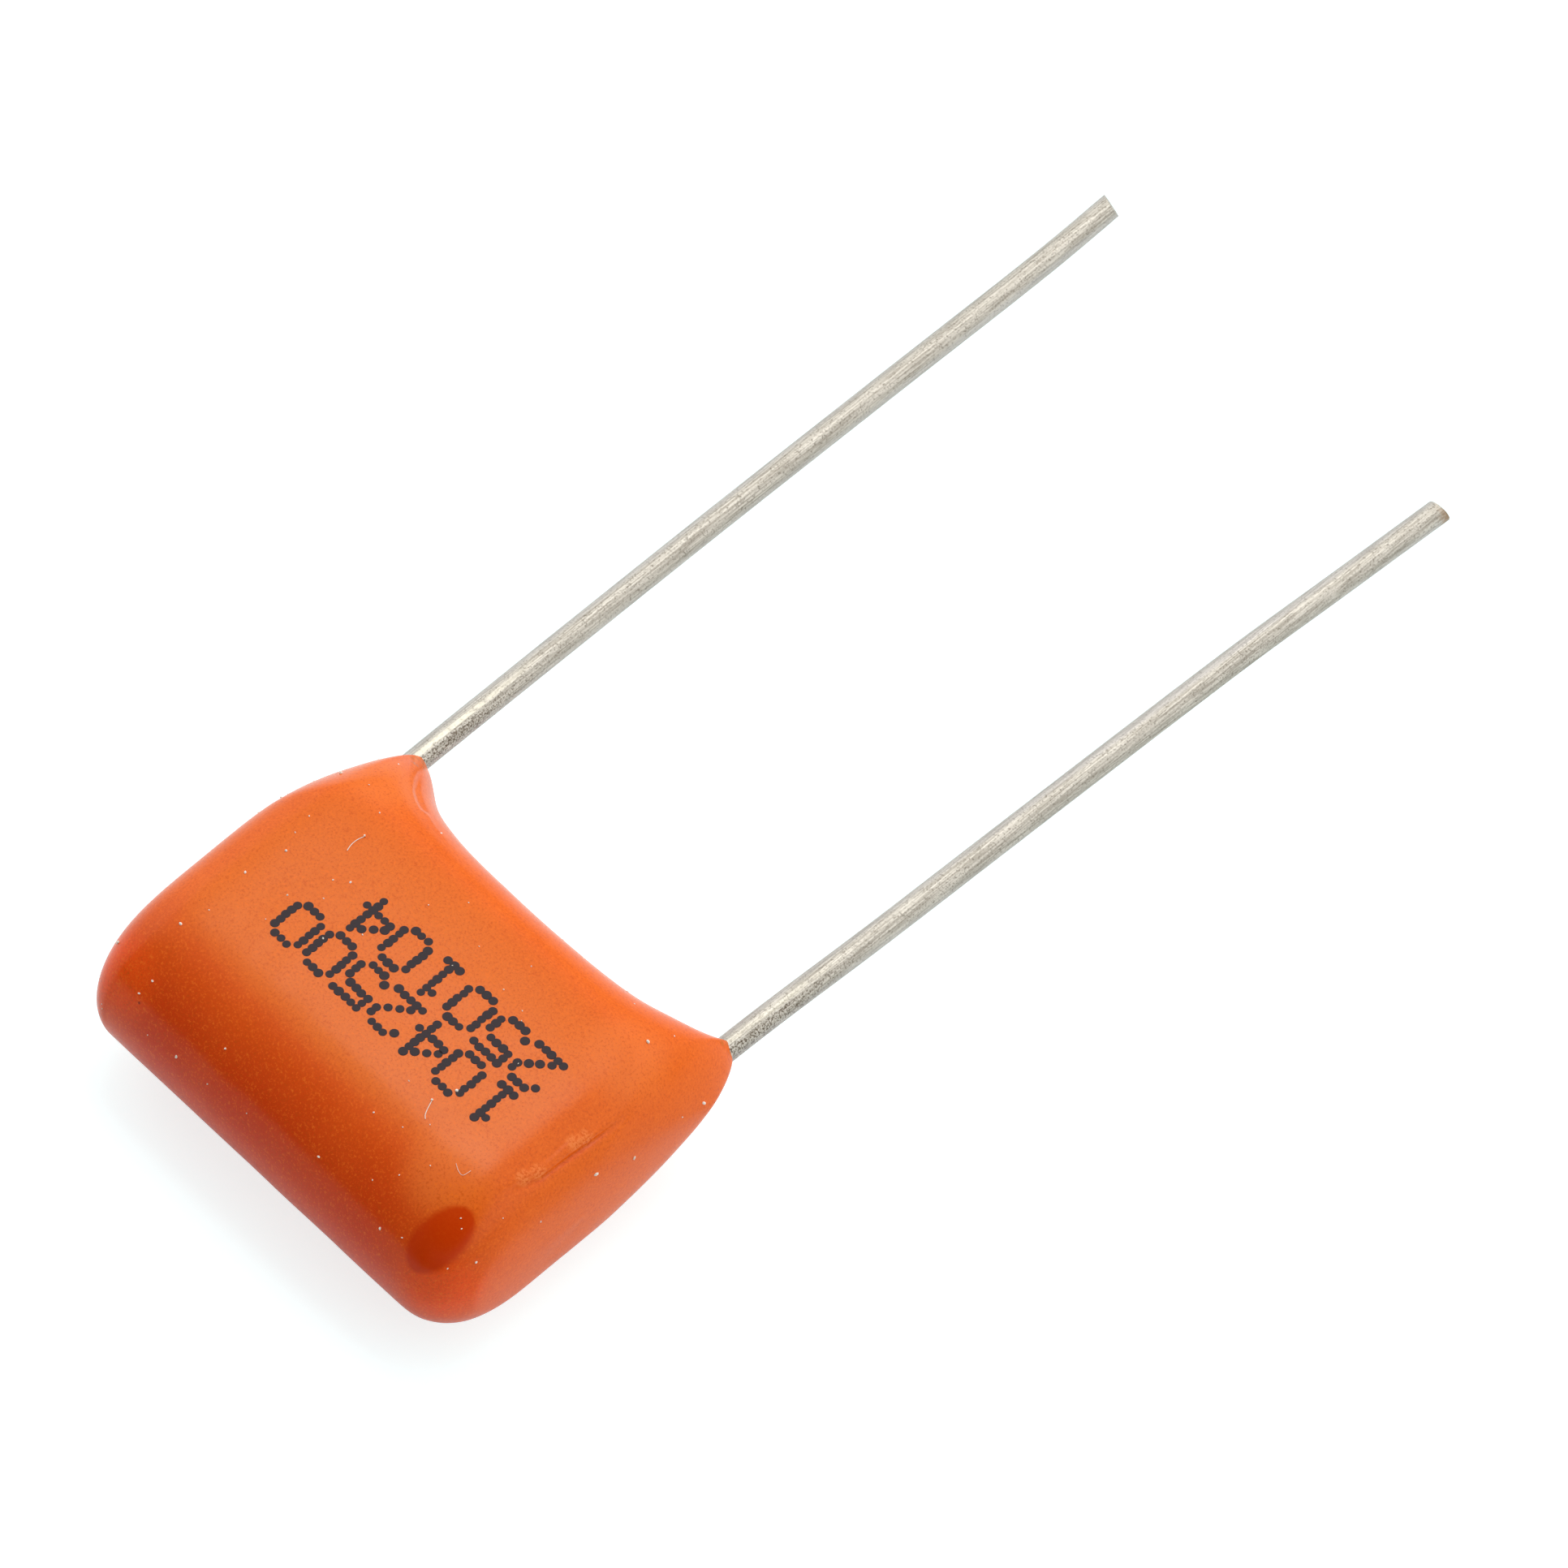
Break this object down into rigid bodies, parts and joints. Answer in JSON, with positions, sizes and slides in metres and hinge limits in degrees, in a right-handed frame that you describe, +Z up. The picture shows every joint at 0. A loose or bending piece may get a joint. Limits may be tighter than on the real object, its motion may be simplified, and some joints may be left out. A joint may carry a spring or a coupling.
{
  "type": "film capacitor",
  "caption": "Radial film capacitor: a flat, rounded body dipped in glossy orange resin, with straight tinned wire leads, stores charge in a circuit.",
  "frame": {"origin": "on the flat side that it lies on, under the middle of the film roll", "axes": "+X from the left lead to the right lead, +Y along the leads from the body to their tips, +Z up from the flat side"},
  "size_m": [0.0118, 0.0317, 0.0049],
  "materials": {
    "orange_resin": "satin gloss dipped resin",
    "metallised_film": "silvery pressed film",
    "sprayed_zinc": "matt sprayed zinc",
    "tinned_wire": "pitted satin tin"
  },
  "bodies": {
    "root": {"resin_coating": "orange_resin", "film_winding": "metallised_film", "left_end_contact": "sprayed_zinc", "right_end_contact": "sprayed_zinc", "left_lead": "tinned_wire", "right_lead": "tinned_wire"}
  },
  "joints": []
}
